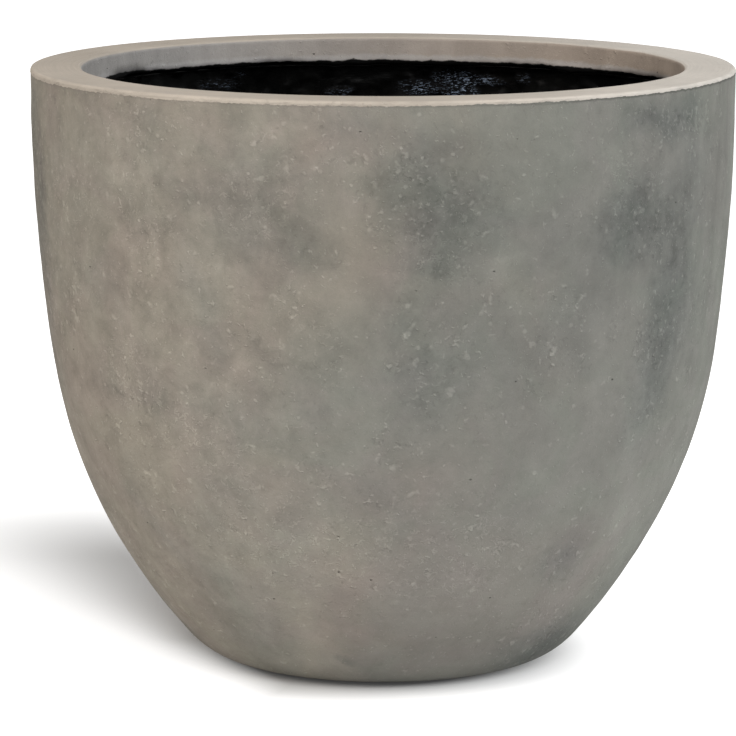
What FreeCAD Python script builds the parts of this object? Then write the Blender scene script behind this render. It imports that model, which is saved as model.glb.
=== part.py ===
"""Round fibre-concrete floor planter: cast shell with a thick rim, glass-fibre liner, black coat, drain plug.

Millimetres. The origin is the middle of the standing face, +Z is up and is the axis of every piece.
The wall is three tangent arcs, level at the base and upright at the rim. Each layer repeats them further in.
"""
import FreeCAD, Part
import math
import os

import Sketcher

SIZES = {
    "rim_diameter": (600, "outside of the rim"),
    "pot_height": (510, "standing face to rim top"),
    "base_diameter": (232, "flat of the base, inside its rounded corner"),
    "corner_radius": (72, "rounding from the base into the wall"),
    "skirt_angle": (48, "turn of the rounded corner, in degrees"),
    "belly_angle": (34.4, "turn of the belly arc, in degrees"),
    "face_wall": (12, "thickness of the concrete"),
    "rim_width": (44, "width of the rim top"),
    "lip_depth": (24, "height of the return lip inside the rim"),
    "rim_rounding": (4.5, "outer edge of the rim"),
    "mouth_rounding": (3.5, "inner edge of the rim"),
    "lip_rounding": (6, "lower edge of the return lip"),
    "hollow_diameter": (184, "hollow of the underside, inside the standing ring"),
    "hollow_depth": (3, "depth of that hollow"),
    "bond_gap": (0.3, "space between two layers"),
    "liner_wall": (5, "thickness of the glass-fibre laminate"),
    "coat_wall": (2, "thickness of the black coat"),
    "drain_diameter": (30, "hole through the base"),
    "plug_clearance": (0.3, "radial space around the top of the plug's shank"),
    "plug_taper": (2, "loss of shank radius from top to tip"),
    "plug_lift": (1.5, "tip of the shank above the hollow"),
    "flange_diameter": (52, "plug flange, which rests on the coat"),
    "flange_thickness": (5, "plug flange"),
    "stem_diameter": (14, "neck under the plug's grip"),
    "stem_height": (9, "neck under the plug's grip"),
    "grip_diameter": (24, "plug grip"),
    "grip_height": (10, "plug grip"),
    "plug_rounding": (2, "edges of flange and grip"),
}
SHEET = "Sizes"
ROUND_TURN = 360
EDGE_MATCH = 0.05


class Size:
    """A value together with the sheet formula that gives it."""

    def __init__(self, value, formula):
        self.value = value
        self.formula = formula

    def __add__(self, other):
        return Size(self.value + other.value, f"({self.formula} + {other.formula})")

    def __sub__(self, other):
        return Size(self.value - other.value, f"({self.formula} - {other.formula})")

    def half(self):
        return Size(self.value / 2, f"({self.formula} / 2)")


doc = FreeCAD.newDocument("planter")


def make_sheet():
    """The sheet of driving sizes, and each size with the name of its cell."""
    sheet = doc.addObject("Spreadsheet::Sheet", SHEET)
    sizes = {}
    for row, (alias, (number, meaning)) in enumerate(SIZES.items(), start=1):
        sheet.set(f"A{row}", alias)
        sheet.set(f"B{row}", str(number))
        sheet.setAlias(f"B{row}", alias)
        sheet.set(f"C{row}", meaning)
        sizes[alias] = Size(number, f"{SHEET}.{alias}")
    doc.recompute()
    return sizes


S = make_sheet()
ZERO = Size(0, "0")
RIM_RADIUS = S["rim_diameter"].half()
BASE_RADIUS = S["base_diameter"].half()
MOUTH_RADIUS = RIM_RADIUS - S["rim_width"]
LIP_BOTTOM = S["pot_height"] - S["lip_depth"]
LINER_OUTSIDE = S["face_wall"] + S["bond_gap"]
LINER_INSIDE = LINER_OUTSIDE + S["liner_wall"]
COAT_OUTSIDE = LINER_INSIDE + S["bond_gap"]
COAT_INSIDE = COAT_OUTSIDE + S["coat_wall"]
LAYER_TOP = LIP_BOTTOM - S["bond_gap"]


def origin_item(body, role):
    return next(item for item in body.Origin.OriginFeatures if item.Role == role)


def new_sketch(body, name, role="XZ_Plane"):
    sketch = body.newObject("Sketcher::SketchObject", name)
    sketch.AttachmentSupport = (origin_item(body, role), [""])
    sketch.MapMode = "FlatFace"
    return sketch


def bind(sketch, kind, where, size, name):
    """A named sketch dimension that follows the sheet."""
    start = math.radians(size.value) if kind == "Angle" else size.value
    sketch.renameConstraint(sketch.addConstraint(Sketcher.Constraint(kind, *where, start)), name)
    sketch.setExpression(f"Constraints.{name}", size.formula)


def fix_point(sketch, item, end, across, up, name):
    """Places one end of a line: on an axis where a distance is nothing, else dimensioned from the origin."""
    for kind, size, axis in (("DistanceX", across, -2), ("DistanceY", up, -1)):
        if size is ZERO:
            sketch.addConstraint(Sketcher.Constraint("PointOnObject", item, end, axis))
        else:
            bind(sketch, kind, (-1, 1, item, end), size, f"{name}_{kind[-1].lower()}")


def draw_outline(sketch, corners):
    """A closed outline of straight lines through corners given as (distance from the axis, height)."""
    points = [FreeCAD.Vector(across.value, up.value, 0) for across, up in corners]
    for start, end in zip(points, points[1:] + points[:1]):
        sketch.addGeometry(Part.LineSegment(start, end), False)
    for item, (across, up) in enumerate(corners):
        following = (item + 1) % len(corners)
        sketch.addConstraint(Sketcher.Constraint("Coincident", item, 2, following, 1))
        fix_point(sketch, item, 1, across, up, f"corner{item}")


def wall_radii(inset):
    """Radii of the corner, belly and upper arcs, a given inset from the outside of the pot."""
    first = math.radians(S["skirt_angle"].value)
    second = first + math.radians(S["belly_angle"].value)
    corner = S["corner_radius"].value
    rise = S["pot_height"].value - corner * (1 - math.cos(first))
    run = RIM_RADIUS.value - BASE_RADIUS.value - corner * math.sin(first)
    belly_rise = math.cos(first) - math.cos(second)
    belly_run = math.sin(second) - math.sin(first)
    upper_rise = math.cos(second)
    upper_run = 1 - math.sin(second)
    determinant = belly_rise * upper_run - upper_rise * belly_run
    belly = (rise * upper_run - upper_rise * run) / determinant
    upper = (belly_rise * run - belly_run * rise) / determinant
    return [radius - inset.value for radius in (corner, belly, upper)]


def draw_cup(sketch, inset):
    """Half section of the pot's solid outline, drawn a given inset inside its outer face."""
    turns = [0, S["skirt_angle"].value, S["skirt_angle"].value + S["belly_angle"].value, ROUND_TURN / 4]
    floor_end = FreeCAD.Vector(BASE_RADIUS.value, inset.value, 0)
    sketch.addGeometry(Part.LineSegment(FreeCAD.Vector(0, inset.value, 0), floor_end), False)
    here = floor_end
    for radius, start, end in zip(wall_radii(inset), turns, turns[1:]):
        begin = math.radians(start) - math.pi / 2
        finish = math.radians(end) - math.pi / 2
        centre = here - FreeCAD.Vector(math.cos(begin), math.sin(begin), 0) * radius
        circle = Part.Circle(centre, FreeCAD.Vector(0, 0, 1), radius)
        sketch.addGeometry(Part.ArcOfCircle(circle, begin, finish), False)
        here = centre + FreeCAD.Vector(math.cos(finish), math.sin(finish), 0) * radius
    crown = FreeCAD.Vector(0, S["pot_height"].value, 0)
    sketch.addGeometry(Part.LineSegment(here, crown), False)
    sketch.addGeometry(Part.LineSegment(crown, FreeCAD.Vector(0, inset.value, 0)), False)
    floor, corner, belly, upper, top, axis = range(6)
    for first, second in ((floor, corner), (corner, belly), (belly, upper)):
        sketch.addConstraint(Sketcher.Constraint("Tangent", first, 2, second, 1))
    sketch.addConstraint(Sketcher.Constraint("Perpendicular", upper, 2, top, 1))
    sketch.addConstraint(Sketcher.Constraint("Coincident", top, 2, axis, 1))
    sketch.addConstraint(Sketcher.Constraint("Coincident", axis, 2, floor, 1))
    sketch.addConstraint(Sketcher.Constraint("Horizontal", floor))
    sketch.addConstraint(Sketcher.Constraint("Horizontal", top))
    sketch.addConstraint(Sketcher.Constraint("Vertical", axis))
    fix_point(sketch, floor, 1, ZERO, inset, "floor")
    bind(sketch, "DistanceX", (-1, 1, floor, 2), BASE_RADIUS, "base_radius")
    corner_inside = S["corner_radius"] - inset
    bind(sketch, "Radius", (corner,), corner_inside, "corner_radius")
    bind(sketch, "Angle", (corner,), S["skirt_angle"], "skirt_angle")
    bind(sketch, "Angle", (belly,), S["belly_angle"], "belly_angle")
    fix_point(sketch, upper, 2, RIM_RADIUS - inset, S["pot_height"], "rim")


def turn(body, kind, sketch, name):
    """A full revolution of a sketch about +Z; a groove has to take material away."""
    before = body.Shape.Volume if kind == "Groove" else 0
    feature = body.newObject(f"PartDesign::{kind}", name)
    feature.Profile = sketch
    feature.ReferenceAxis = (sketch, ["V_Axis"])
    feature.Angle = ROUND_TURN
    doc.recompute()
    if kind == "Groove" and not 0 < feature.Shape.Volume < before:
        raise RuntimeError(f"{name} cuts nothing")
    return feature


def pocket(body, name, diameter, depth=None):
    """A round pocket up from the standing plane, right through where no depth is given."""
    before = body.Shape.Volume
    sketch = new_sketch(body, f"{name}_outline", "XY_Plane")
    middle = FreeCAD.Vector(0, 0, 0)
    sketch.addGeometry(Part.Circle(middle, FreeCAD.Vector(0, 0, 1), diameter.half().value), False)
    sketch.addConstraint(Sketcher.Constraint("Coincident", 0, 3, -1, 1))
    bind(sketch, "Diameter", (0,), diameter, "across")
    feature = body.newObject("PartDesign::Pocket", name)
    feature.Profile = sketch
    feature.Reversed = True
    if depth is None:
        feature.Type = "ThroughAll"
    else:
        feature.setExpression("Length", depth.formula)
    doc.recompute()
    if not 0 < feature.Shape.Volume < before:
        raise RuntimeError(f"{name} cuts nothing")
    return feature


def ring_edge(shape, radius, height):
    """Name of the round edge with this radius and height about +Z."""
    for number, edge in enumerate(shape.Edges, start=1):
        if not isinstance(edge.Curve, Part.Circle):
            continue
        off = abs(edge.Curve.Radius - radius.value) + abs(edge.Curve.Center.z - height.value)
        if off < EDGE_MATCH:
            return f"Edge{number}"
    raise RuntimeError(f"no edge of radius {radius.value} at height {height.value}")


def round_edges(body, name, size, rings):
    """Rounds the ring edges given as (radius, height)."""
    base = body.Tip
    feature = body.newObject("PartDesign::Fillet", name)
    feature.Base = (base, [ring_edge(base.Shape, radius, height) for radius, height in rings])
    feature.setExpression("Radius", size.formula)
    doc.recompute()


def new_body(name):
    body = doc.addObject("PartDesign::Body", name)
    body.Label = name
    return body


def make_cup(name, outside, inside):
    """A body between two insets of the pot's outline, open at the top."""
    body = new_body(name)
    outer = new_sketch(body, f"{name}_outside")
    draw_cup(outer, outside)
    turn(body, "Revolution", outer, f"{name}_solid")
    inner = new_sketch(body, f"{name}_inside")
    draw_cup(inner, inside)
    turn(body, "Groove", inner, f"{name}_cavity")
    return body


def make_shell():
    """The cast concrete: wall, base with its hollow and drain hole, and the thick rim with its return lip."""
    body = make_cup("concrete_shell", ZERO, S["face_wall"])
    lip = new_sketch(body, "lip_outline")
    lip_root = RIM_RADIUS - S["face_wall"].half()
    draw_outline(lip, [(MOUTH_RADIUS, LIP_BOTTOM), (lip_root, LIP_BOTTOM),
                       (lip_root, S["pot_height"]), (MOUTH_RADIUS, S["pot_height"])])
    turn(body, "Revolution", lip, "lip")
    pocket(body, "hollow", S["hollow_diameter"], S["hollow_depth"])
    pocket(body, "drain", S["drain_diameter"])
    round_edges(body, "rim_edge", S["rim_rounding"], [(RIM_RADIUS, S["pot_height"])])
    round_edges(body, "mouth_edge", S["mouth_rounding"], [(MOUTH_RADIUS, S["pot_height"])])
    round_edges(body, "lip_edge", S["lip_rounding"], [(MOUTH_RADIUS, LIP_BOTTOM)])
    return body


def make_layer(name, outside, inside):
    """A layer laid inside the shell: it ends under the lip and leaves the drain hole open."""
    body = make_cup(name, outside, inside)
    trim = new_sketch(body, f"{name}_trim")
    draw_outline(trim, [(ZERO, LAYER_TOP), (RIM_RADIUS, LAYER_TOP),
                        (RIM_RADIUS, S["pot_height"]), (ZERO, S["pot_height"])])
    turn(body, "Groove", trim, f"{name}_edge")
    pocket(body, f"{name}_drain", S["drain_diameter"])
    return body


def make_coat():
    """The black coat: over the liner's inside, and turned in under the lip as far as its rounded edge."""
    body = make_layer("seal_coat", COAT_OUTSIDE, COAT_INSIDE)
    under_lip = new_sketch(body, "under_lip_outline")
    edge = MOUTH_RADIUS + S["lip_rounding"]
    root = RIM_RADIUS - COAT_OUTSIDE - S["coat_wall"].half()
    lower_face = LAYER_TOP - S["coat_wall"]
    draw_outline(under_lip, [(edge, lower_face), (root, lower_face), (root, LAYER_TOP), (edge, LAYER_TOP)])
    turn(body, "Revolution", under_lip, "under_lip")
    return body


def make_plug():
    """Rubber stopper: tapered shank in the drain hole, flange on the coat, neck and grip above."""
    body = new_body("drain_plug")
    tip = S["hollow_depth"] + S["plug_lift"]
    shank = S["drain_diameter"].half() - S["plug_clearance"]
    flange = S["flange_diameter"].half()
    stem = S["stem_diameter"].half()
    grip = S["grip_diameter"].half()
    flange_top = COAT_INSIDE + S["flange_thickness"]
    grip_bottom = flange_top + S["stem_height"]
    grip_top = grip_bottom + S["grip_height"]
    section = new_sketch(body, "plug_section")
    draw_outline(section, [(ZERO, tip), (shank - S["plug_taper"], tip),
                           (shank, COAT_INSIDE), (flange, COAT_INSIDE),
                           (flange, flange_top), (stem, flange_top),
                           (stem, grip_bottom), (grip, grip_bottom),
                           (grip, grip_top), (ZERO, grip_top)])
    turn(body, "Revolution", section, "plug_solid")
    round_edges(body, "plug_edges", S["plug_rounding"],
                [(flange, flange_top), (grip, grip_bottom), (grip, grip_top)])
    return body


def check_and_write(bodies):
    """Stops on any faulty object, then writes each piece under its own name."""
    doc.recompute()
    for item in doc.Objects:
        if any(state in ("Invalid", "Error") for state in item.State):
            raise RuntimeError(f"{item.Name} is not sound: {item.State}")
    os.makedirs("parts", exist_ok=True)
    for body in bodies:
        if body.Shape.isNull() or not body.Shape.isValid() or len(body.Shape.Solids) != 1:
            raise RuntimeError(f"{body.Label} is not one sound solid")
        body.Shape.exportStep(f"parts/{body.Label}.step")
        print(body.Label, round(body.Shape.Volume), "mm3")


check_and_write([
    make_shell(),
    make_layer("fibre_liner", LINER_OUTSIDE, LINER_INSIDE),
    make_coat(),
    make_plug(),
])
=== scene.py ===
"""Concrete planter, dressed for its photograph.

Metres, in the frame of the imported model: the origin is the middle of the standing face and +Z is up.
The concrete shell and the black coat are turned meshes with a hand-made surface. The plug
and the liner keep their solids.
"""
import math

import bpy
import numpy as np
from mathutils import Matrix, Vector


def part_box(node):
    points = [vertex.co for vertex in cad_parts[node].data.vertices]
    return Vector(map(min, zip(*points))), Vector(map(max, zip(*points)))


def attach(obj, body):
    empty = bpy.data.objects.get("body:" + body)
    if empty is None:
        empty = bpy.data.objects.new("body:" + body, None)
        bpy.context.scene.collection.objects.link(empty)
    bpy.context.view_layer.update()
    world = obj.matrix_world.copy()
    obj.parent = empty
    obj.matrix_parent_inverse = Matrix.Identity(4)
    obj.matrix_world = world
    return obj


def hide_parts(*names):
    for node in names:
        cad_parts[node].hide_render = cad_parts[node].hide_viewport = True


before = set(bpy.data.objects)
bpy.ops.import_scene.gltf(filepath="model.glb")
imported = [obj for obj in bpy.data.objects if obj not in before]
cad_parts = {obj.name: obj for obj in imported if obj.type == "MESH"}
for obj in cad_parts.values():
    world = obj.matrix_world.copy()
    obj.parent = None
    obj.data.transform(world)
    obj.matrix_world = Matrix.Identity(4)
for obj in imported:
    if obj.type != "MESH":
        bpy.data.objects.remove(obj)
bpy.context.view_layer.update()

# Sizes of the pot, as in its solids; the coat's faces are insets from the outside of the wall
RIM_RADIUS = 0.300
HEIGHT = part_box("concrete_shell")[1].z
BASE_RADIUS = 0.116
CORNER_RADIUS = 0.072
SKIRT_ANGLE = math.radians(48)
BELLY_ANGLE = math.radians(34.4)
FACE_WALL = 0.012
MOUTH_RADIUS = 0.256
LIP_DEPTH = 0.024
LIP_BOTTOM = HEIGHT - LIP_DEPTH
LIP_ROUNDING = 0.006
HOLLOW_RADIUS = 0.092
HOLLOW_DEPTH = 0.003
DRAIN_RADIUS = 0.015
COAT_OUTSIDE = 0.0176
COAT_WALL = 0.002
COAT_INSIDE = COAT_OUTSIDE + COAT_WALL
COAT_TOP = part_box("seal_coat")[1].z

# Headings round the pot
FRONT = -math.pi / 2
BACK = math.pi / 2

# Worn edges of the rim: the pale strip over the outer edge stands a little proud of the wall below it
STRIP_DEPTH = 0.0038
STRIP_PROUD = 0.0003
STRIP_STEP_BELOW = 0.0006
STRIP_STEP_ABOVE = 0.0004
STRIP_MARGIN = 0.003
ARRIS_ROUNDING = 0.0030
MOUTH_EDGE = 0.0034
# The strip's lower edge is as rough as this share of the lip's, taken this far round the pot from it
STRIP_ROUGH_SHARE = 0.4
STRIP_TURN = 1

# How far the shell stays inside the rim radius of its solid
BOX_SLACK = 0.0001

# Fineness of the turned meshes; of the coat's rings below what the photograph shows, one in so many is kept
AROUND = 960
FINE_STEP = 0.0008
WALL_STEP = 0.0026
HIDDEN_STEP = 0.014
LEAST_ARC_STEPS = 3
SHARP_ANGLE = math.radians(50)
COAT_SEEN_DEPTH = 0.12
COAT_HIDDEN_RINGS = 4

# Random waves: how many make a field, and between which shares their pace varies
SHELL_WAVES = 28
COAT_WAVES = 40
PACE_SHARES = (0.6, 1.5)

# Relief of the hand-made surface: size, wavelength and seed of its waves
WALL_DEPTH = 0.00020
WALL_WAVE = (WALL_DEPTH, 0.11, 1)
WALL_DENT = (0.00007, 0.024, 2)
EDGE_WANDER = (0.0008, 0.09, 11)
EDGE_NIBBLE = (0.0003, 0.02, 13)
# Lumps, knobs on them and brush strokes of the coat, as shares of their size, and the least that counts
COAT_LUMPS, COAT_KNOBS, COAT_STROKES = (1, 0.020, 21), (0.25, 0.009, 22), (1, 0.006, 23)
LUMP_SIZE, LEAST_LUMP = 0.0004, -0.5
STROKE_SIZE, LEAST_STROKE = 0.0001, -0.3
STROKE_STRETCH = np.array([0.3, 0.3, 1])

# Where the relief fades: over the standing face, under the rim's top, and round the lip
FOOT_TRUE, FOOT_ROUGH = 0.004, 0.02
SWELL_FULL, SWELL_GONE = 0.045, 0.010
HANG_GONE = 0.008
LIP_REACH = 0.03
LIP_SLACK = 0.002
INNER_WALL_GAP = 0.01
COAT_FLOOR_FADE = 0.02
COAT_LIP_ZONE = 0.006

# Places where the cast wall swells or is flat: degrees right of the front, half width, height, half height,
# how far outwards
SWELLINGS = (
    (86, 45, 0.300, 0.16, 0.0016),
    (80, 30, 0.085, 0.05, -0.0010),
    (-80, 45, 0.430, 0.09, 0.0005),
)

# Places where the lip's lower edge hangs down or was cut short: degrees right of the back, half width, drop
LIP_DROPS = (
    (0, 9, 0.0018),
    (32, 7, -0.0010),
    (-36, 9, -0.0012),
    (40, 4, 0.0018),
    (60, 10, -0.0026),
    (-58, 14, -0.0012),
    (-22, 5, -0.0008),
    (100, 8, 0.0012),
    (150, 6, 0.0014),
    (-120, 7, 0.0016),
)

# Light: the surroundings from the left and the right, and as they are seen
AMBIENT_LEFT = 0.14
AMBIENT_RIGHT = 0.58
SEEN_LEVEL = 1.0
# Soft boxes: name, degrees right of the camera, degrees up, how far, how wide, level, colour
LAMPS = (
    ("key_front", 20, 32, 4.0, 1.6, 0.44, (1.0, 1.0, 1.0)),
    ("fill_left", -52, 34, 4.0, 2.4, 0.58, (1.0, 0.94, 0.87)),
    ("fill_right", 88, 18, 4.0, 2.0, 0.30, (0.93, 0.98, 1.0)),
)

# Floor: its grey as seen and for the light that it throws back, and its least glow
FLOOR_SIZE = 60
FLOOR_SEEN = 0.56
FLOOR_BOUNCE = 0.62
FLOOR_GLOW = 0.04
FLOOR_ROUGHNESS = 0.9
# Edges of the pool of shade behind the pot, beyond which the floor is overlit to white: heading right and
# back, where the white starts and is full beside the pot, how much; further back than FAN_START both move
SHADE_SIDES = (
    (-0.89, -0.455, 0.118, 0.186, 0.72),
    (1.0, 0.0, 0.150, 0.200, 0.9),
)
FAN_START = 0.04
START_SLOPE = -0.30
FULL_SLOPE = 0.07
# The far end of that pool: where the white starts, where it is full, how much
SHADE_ENDS = ((0.37, 0.64, 0.50), (0.53, 0.80, 1.0))
# The narrow ring of shade round the foot in front: how far left of the pot its middle is, from and to how
# far from there the white comes in, how much
FOOT_SHADE = (0.026, 0.126, 0.234, 0.85)
# Heading of the lit side of the pot, and between which places along it the ring comes in
LIT_SIDE = (0.55, -0.83)
LIT_SPAN = (-0.11, -0.03)

# The photograph's camera
PHOTO_PIXELS = 736
FOCAL_PIXELS = 4590.8
SENSOR_WIDTH = 36
CAMERA_PLACE = Vector((0, -3.9, 0.8899))
CAMERA_PITCH = math.radians(-9.346)
CAMERA_YAW = math.radians(-0.183)
CAMERA_ROLL = math.radians(0.061)


def random_waves(points, size, wavelength, seed, count=SHELL_WAVES):
    """A smooth random field of about a size over points, seamless round the pot."""
    draw = np.random.default_rng(seed)
    heading = draw.normal(size=(count, 3))
    heading /= np.linalg.norm(heading, axis=1)[:, None]
    pace = 2 * math.pi / wavelength * draw.uniform(*PACE_SHARES, count)
    phase = draw.uniform(0, 2 * math.pi, count)
    field = np.zeros(len(points))
    for direction, rate, start in zip(heading, pace, phase):
        field += np.cos(points @ direction * rate + start)
    return size * (field * math.sqrt(2 / count))


def line(start, end, step):
    """Points along a straight stretch of a half section, its end left to the next stretch."""
    start, end = np.array(start), np.array(end)
    count = max(1, round(float(np.linalg.norm(end - start)) / step))
    return start + (end - start) * np.arange(count)[:, None] / count


def arc(centre, radius, begin, finish, step):
    """Points along an arc of a half section, its end left to the next stretch."""
    count = max(LEAST_ARC_STEPS, round(abs(finish - begin) * radius / step))
    angle = begin + (finish - begin) * np.arange(count) / count
    return np.array(centre) + radius * np.column_stack((np.cos(angle), np.sin(angle)))


def wall_arcs(inset):
    """Corner, belly and upper arcs of the wall at an inset, as (centre, radius, begin, finish)."""
    first, second, upright = SKIRT_ANGLE, SKIRT_ANGLE + BELLY_ANGLE, math.pi / 2
    rise = HEIGHT - CORNER_RADIUS * (1 - math.cos(first))
    run = RIM_RADIUS - BASE_RADIUS - CORNER_RADIUS * math.sin(first)
    shares = [[math.cos(first) - math.cos(second), math.cos(second)],
              [math.sin(second) - math.sin(first), 1 - math.sin(second)]]
    belly, upper = np.linalg.solve(shares, [rise, run])
    here = np.array([BASE_RADIUS, inset])
    arcs = []
    for radius, start, end in ((CORNER_RADIUS, 0, first), (belly, first, second), (upper, second, upright)):
        begin, finish = start - upright, end - upright
        centre = here - (radius - inset) * np.array([math.cos(begin), math.sin(begin)])
        arcs.append((centre, radius - inset, begin, finish))
        here = centre + (radius - inset) * np.array([math.cos(finish), math.sin(finish)])
    return arcs


def wall_upwards(inset, top, step):
    """Points of the wall at an inset, from the floor up to a height."""
    points = np.vstack([arc(*piece, step) for piece in wall_arcs(inset)])
    return points[points[:, 1] < top - step / 2]


def radius_at(inset, height):
    """Radius of the wall at an inset and a height near the rim."""
    centre, radius, _, _ = wall_arcs(inset)[-1]
    return centre[0] + math.sqrt(radius ** 2 - (height - centre[1]) ** 2)


def on_pot(across, up, angle):
    """Places of a turned mesh's points in space, as one list."""
    return np.stack((across * np.cos(angle), across * np.sin(angle), up), axis=2).reshape(-1, 3)


def turned_mesh(name, section, relief):
    """A closed mesh turned from a closed half section; relief moves its points, given as rings by places."""
    angle = 2 * math.pi * np.arange(AROUND) / AROUND
    across = np.repeat(section[:, None, 0], AROUND, axis=1)
    up = np.repeat(section[:, None, 1], AROUND, axis=1)
    points = on_pot(*relief(across, up, angle), angle)
    ring = np.arange(len(section))[:, None] * AROUND
    place = np.arange(AROUND)[None, :]
    next_ring = (ring + AROUND) % len(points)
    next_place = (place + 1) % AROUND
    quads = np.stack((ring + place, ring + next_place, next_ring + next_place, next_ring + place), axis=2)
    mesh = bpy.data.meshes.new(name)
    mesh.from_pydata(points, [], quads.reshape(-1, 4).tolist())
    mesh.shade_smooth()
    mesh.set_sharp_from_angle(angle=SHARP_ANGLE)
    piece = bpy.data.objects.new(name, mesh)
    bpy.context.scene.collection.objects.link(piece)
    return piece


def smooth_step(low, high, value):
    """Rises softly from 0 at low to 1 at high."""
    share = np.clip((value - low) / (high - low), 0, 1)
    return share * share * (3 - 2 * share)


def hump(value, middle, half_width):
    """A soft hump of height 1 round a middle."""
    return np.exp(-((value - middle) / half_width) ** 2)


def degrees_from(angle, middle):
    """How many degrees each angle lies from a middle one, the short way round."""
    return np.degrees(np.angle(np.exp(1j * (angle - middle))))


def lip_edge(angle):
    """Height of the lip's rough lower edge over its drawn place, round the pot."""
    circle = MOUTH_RADIUS * np.column_stack((np.cos(angle), np.sin(angle), 0 * angle))
    edge = random_waves(circle, *EDGE_WANDER) + random_waves(circle, *EDGE_NIBBLE)
    for degrees, half_width, drop in LIP_DROPS:
        edge -= drop * hump(degrees_from(angle, BACK - math.radians(degrees)), 0, half_width)
    return edge


def swelling(up, angle):
    """How far the cast wall stands out from a true turned form."""
    total = np.zeros(up.shape)
    for degrees, half_width, height, half_height, outwards in SWELLINGS:
        sideways = hump(degrees_from(angle, FRONT + math.radians(degrees)), 0, half_width)
        total += outwards * sideways[None, :] * hump(up, height, half_height)
    return total * (1 - smooth_step(HEIGHT - SWELL_FULL, HEIGHT - SWELL_GONE, up))


def shell_relief(across, up, angle):
    """Uneven cast faces, the rim's proud strip, and the hand-finished lower edge of the lip."""
    points = on_pot(across, up, angle)
    wave = random_waves(points, *WALL_WAVE) + random_waves(points, *WALL_DENT)
    wave = wave.reshape(across.shape)
    outer = (across > MOUTH_RADIUS + LIP_ROUNDING) | (up < LIP_BOTTOM - INNER_WALL_GAP)
    rough_top = HEIGHT - STRIP_DEPTH + STRIP_ROUGH_SHARE * lip_edge(angle + STRIP_TURN)[None, :]
    below_strip = 1 - smooth_step(rough_top - STRIP_STEP_BELOW, rough_top + STRIP_STEP_ABOVE, up)
    depth = STRIP_PROUD * below_strip + np.clip(WALL_DEPTH + wave, 0, None)
    depth = np.where(outer, depth - swelling(up, angle), np.clip(wave, 0, None))
    across = np.minimum(across - depth * smooth_step(FOOT_TRUE, FOOT_ROUGH, up), RIM_RADIUS - BOX_SLACK)
    lip = (across < MOUTH_RADIUS + LIP_REACH) & (up > LIP_BOTTOM - LIP_SLACK)
    hang = smooth_step(HEIGHT - HANG_GONE, LIP_BOTTOM + LIP_ROUNDING, up)
    up = up + np.where(lip, hang * lip_edge(angle)[None, :], 0)
    return across, up


def make_shell():
    """The cast concrete: outside, rim, return lip, inside wall, floor and drain hole."""
    inner_top = radius_at(FACE_WALL, LIP_BOTTOM)
    strip_bottom = HEIGHT - STRIP_DEPTH - STRIP_MARGIN
    arris_centre = (RIM_RADIUS - ARRIS_ROUNDING, HEIGHT - ARRIS_ROUNDING)
    mouth_centre = (MOUTH_RADIUS + MOUTH_EDGE, HEIGHT - MOUTH_EDGE)
    lip_centre = (MOUTH_RADIUS + LIP_ROUNDING, LIP_BOTTOM + LIP_ROUNDING)
    inside = wall_upwards(FACE_WALL, LIP_BOTTOM, HIDDEN_STEP)[::-1]
    right, top, left, bottom = 0, math.pi / 2, math.pi, 3 * math.pi / 2
    section = np.vstack((
        line((DRAIN_RADIUS, FACE_WALL), (DRAIN_RADIUS, HOLLOW_DEPTH), WALL_STEP),
        line((DRAIN_RADIUS, HOLLOW_DEPTH), (HOLLOW_RADIUS, HOLLOW_DEPTH), HIDDEN_STEP),
        line((HOLLOW_RADIUS, HOLLOW_DEPTH), (HOLLOW_RADIUS, 0), WALL_STEP),
        line((HOLLOW_RADIUS, 0), (BASE_RADIUS, 0), WALL_STEP),
        wall_upwards(0, strip_bottom, WALL_STEP),
        line((radius_at(0, strip_bottom), strip_bottom), (RIM_RADIUS, arris_centre[1]), FINE_STEP / 2),
        arc(arris_centre, ARRIS_ROUNDING, right, top, FINE_STEP / 2),
        line((arris_centre[0], HEIGHT), (mouth_centre[0], HEIGHT), WALL_STEP),
        arc(mouth_centre, MOUTH_EDGE, top, left, FINE_STEP / 2),
        line((MOUTH_RADIUS, mouth_centre[1]), (MOUTH_RADIUS, lip_centre[1]), FINE_STEP),
        arc(lip_centre, LIP_ROUNDING, left, bottom, FINE_STEP),
        line((lip_centre[0], LIP_BOTTOM), (inner_top, LIP_BOTTOM), FINE_STEP * 2),
        inside,
        line((BASE_RADIUS, FACE_WALL), (DRAIN_RADIUS, FACE_WALL), HIDDEN_STEP),
    ))
    shell = turned_mesh("planter_shell", section, shell_relief)
    shell.data.materials.append(concrete_material())
    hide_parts("concrete_shell")
    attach(shell, "pot")


def coat_relief(across, up, angle):
    """Lumps and brush strokes on the coat's bare face, always towards the inside of the pot."""
    points = on_pot(across, up, angle)
    lump = random_waves(points, *COAT_LUMPS, COAT_WAVES) + random_waves(points, *COAT_KNOBS, COAT_WAVES)
    stroke = random_waves(points * STROKE_STRETCH, *COAT_STROKES, COAT_WAVES)
    proud = LUMP_SIZE * np.maximum(lump, LEAST_LUMP) + STROKE_SIZE * np.maximum(stroke, LEAST_STROKE)
    proud = np.clip(proud.reshape(across.shape), 0, None)
    flange_top = up - COAT_TOP > -COAT_WALL / 2
    middle_of_wall = wall_upwards(COAT_OUTSIDE + COAT_WALL / 2, HEIGHT, WALL_STEP)
    wall_radius = np.interp(up[:, :1], *middle_of_wall.T[::-1])
    bare = (across < wall_radius) & ~flange_top & (across > DRAIN_RADIUS * 2)
    clear_of_floor = smooth_step(COAT_INSIDE, COAT_INSIDE + COAT_FLOOR_FADE, up)
    across = across - np.where(bare, proud, 0) * clear_of_floor
    under_lip = up > LIP_BOTTOM - COAT_LIP_ZONE
    up = up + np.where(under_lip, np.minimum(lip_edge(angle)[None, :], 0), 0)
    return across, up


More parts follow.
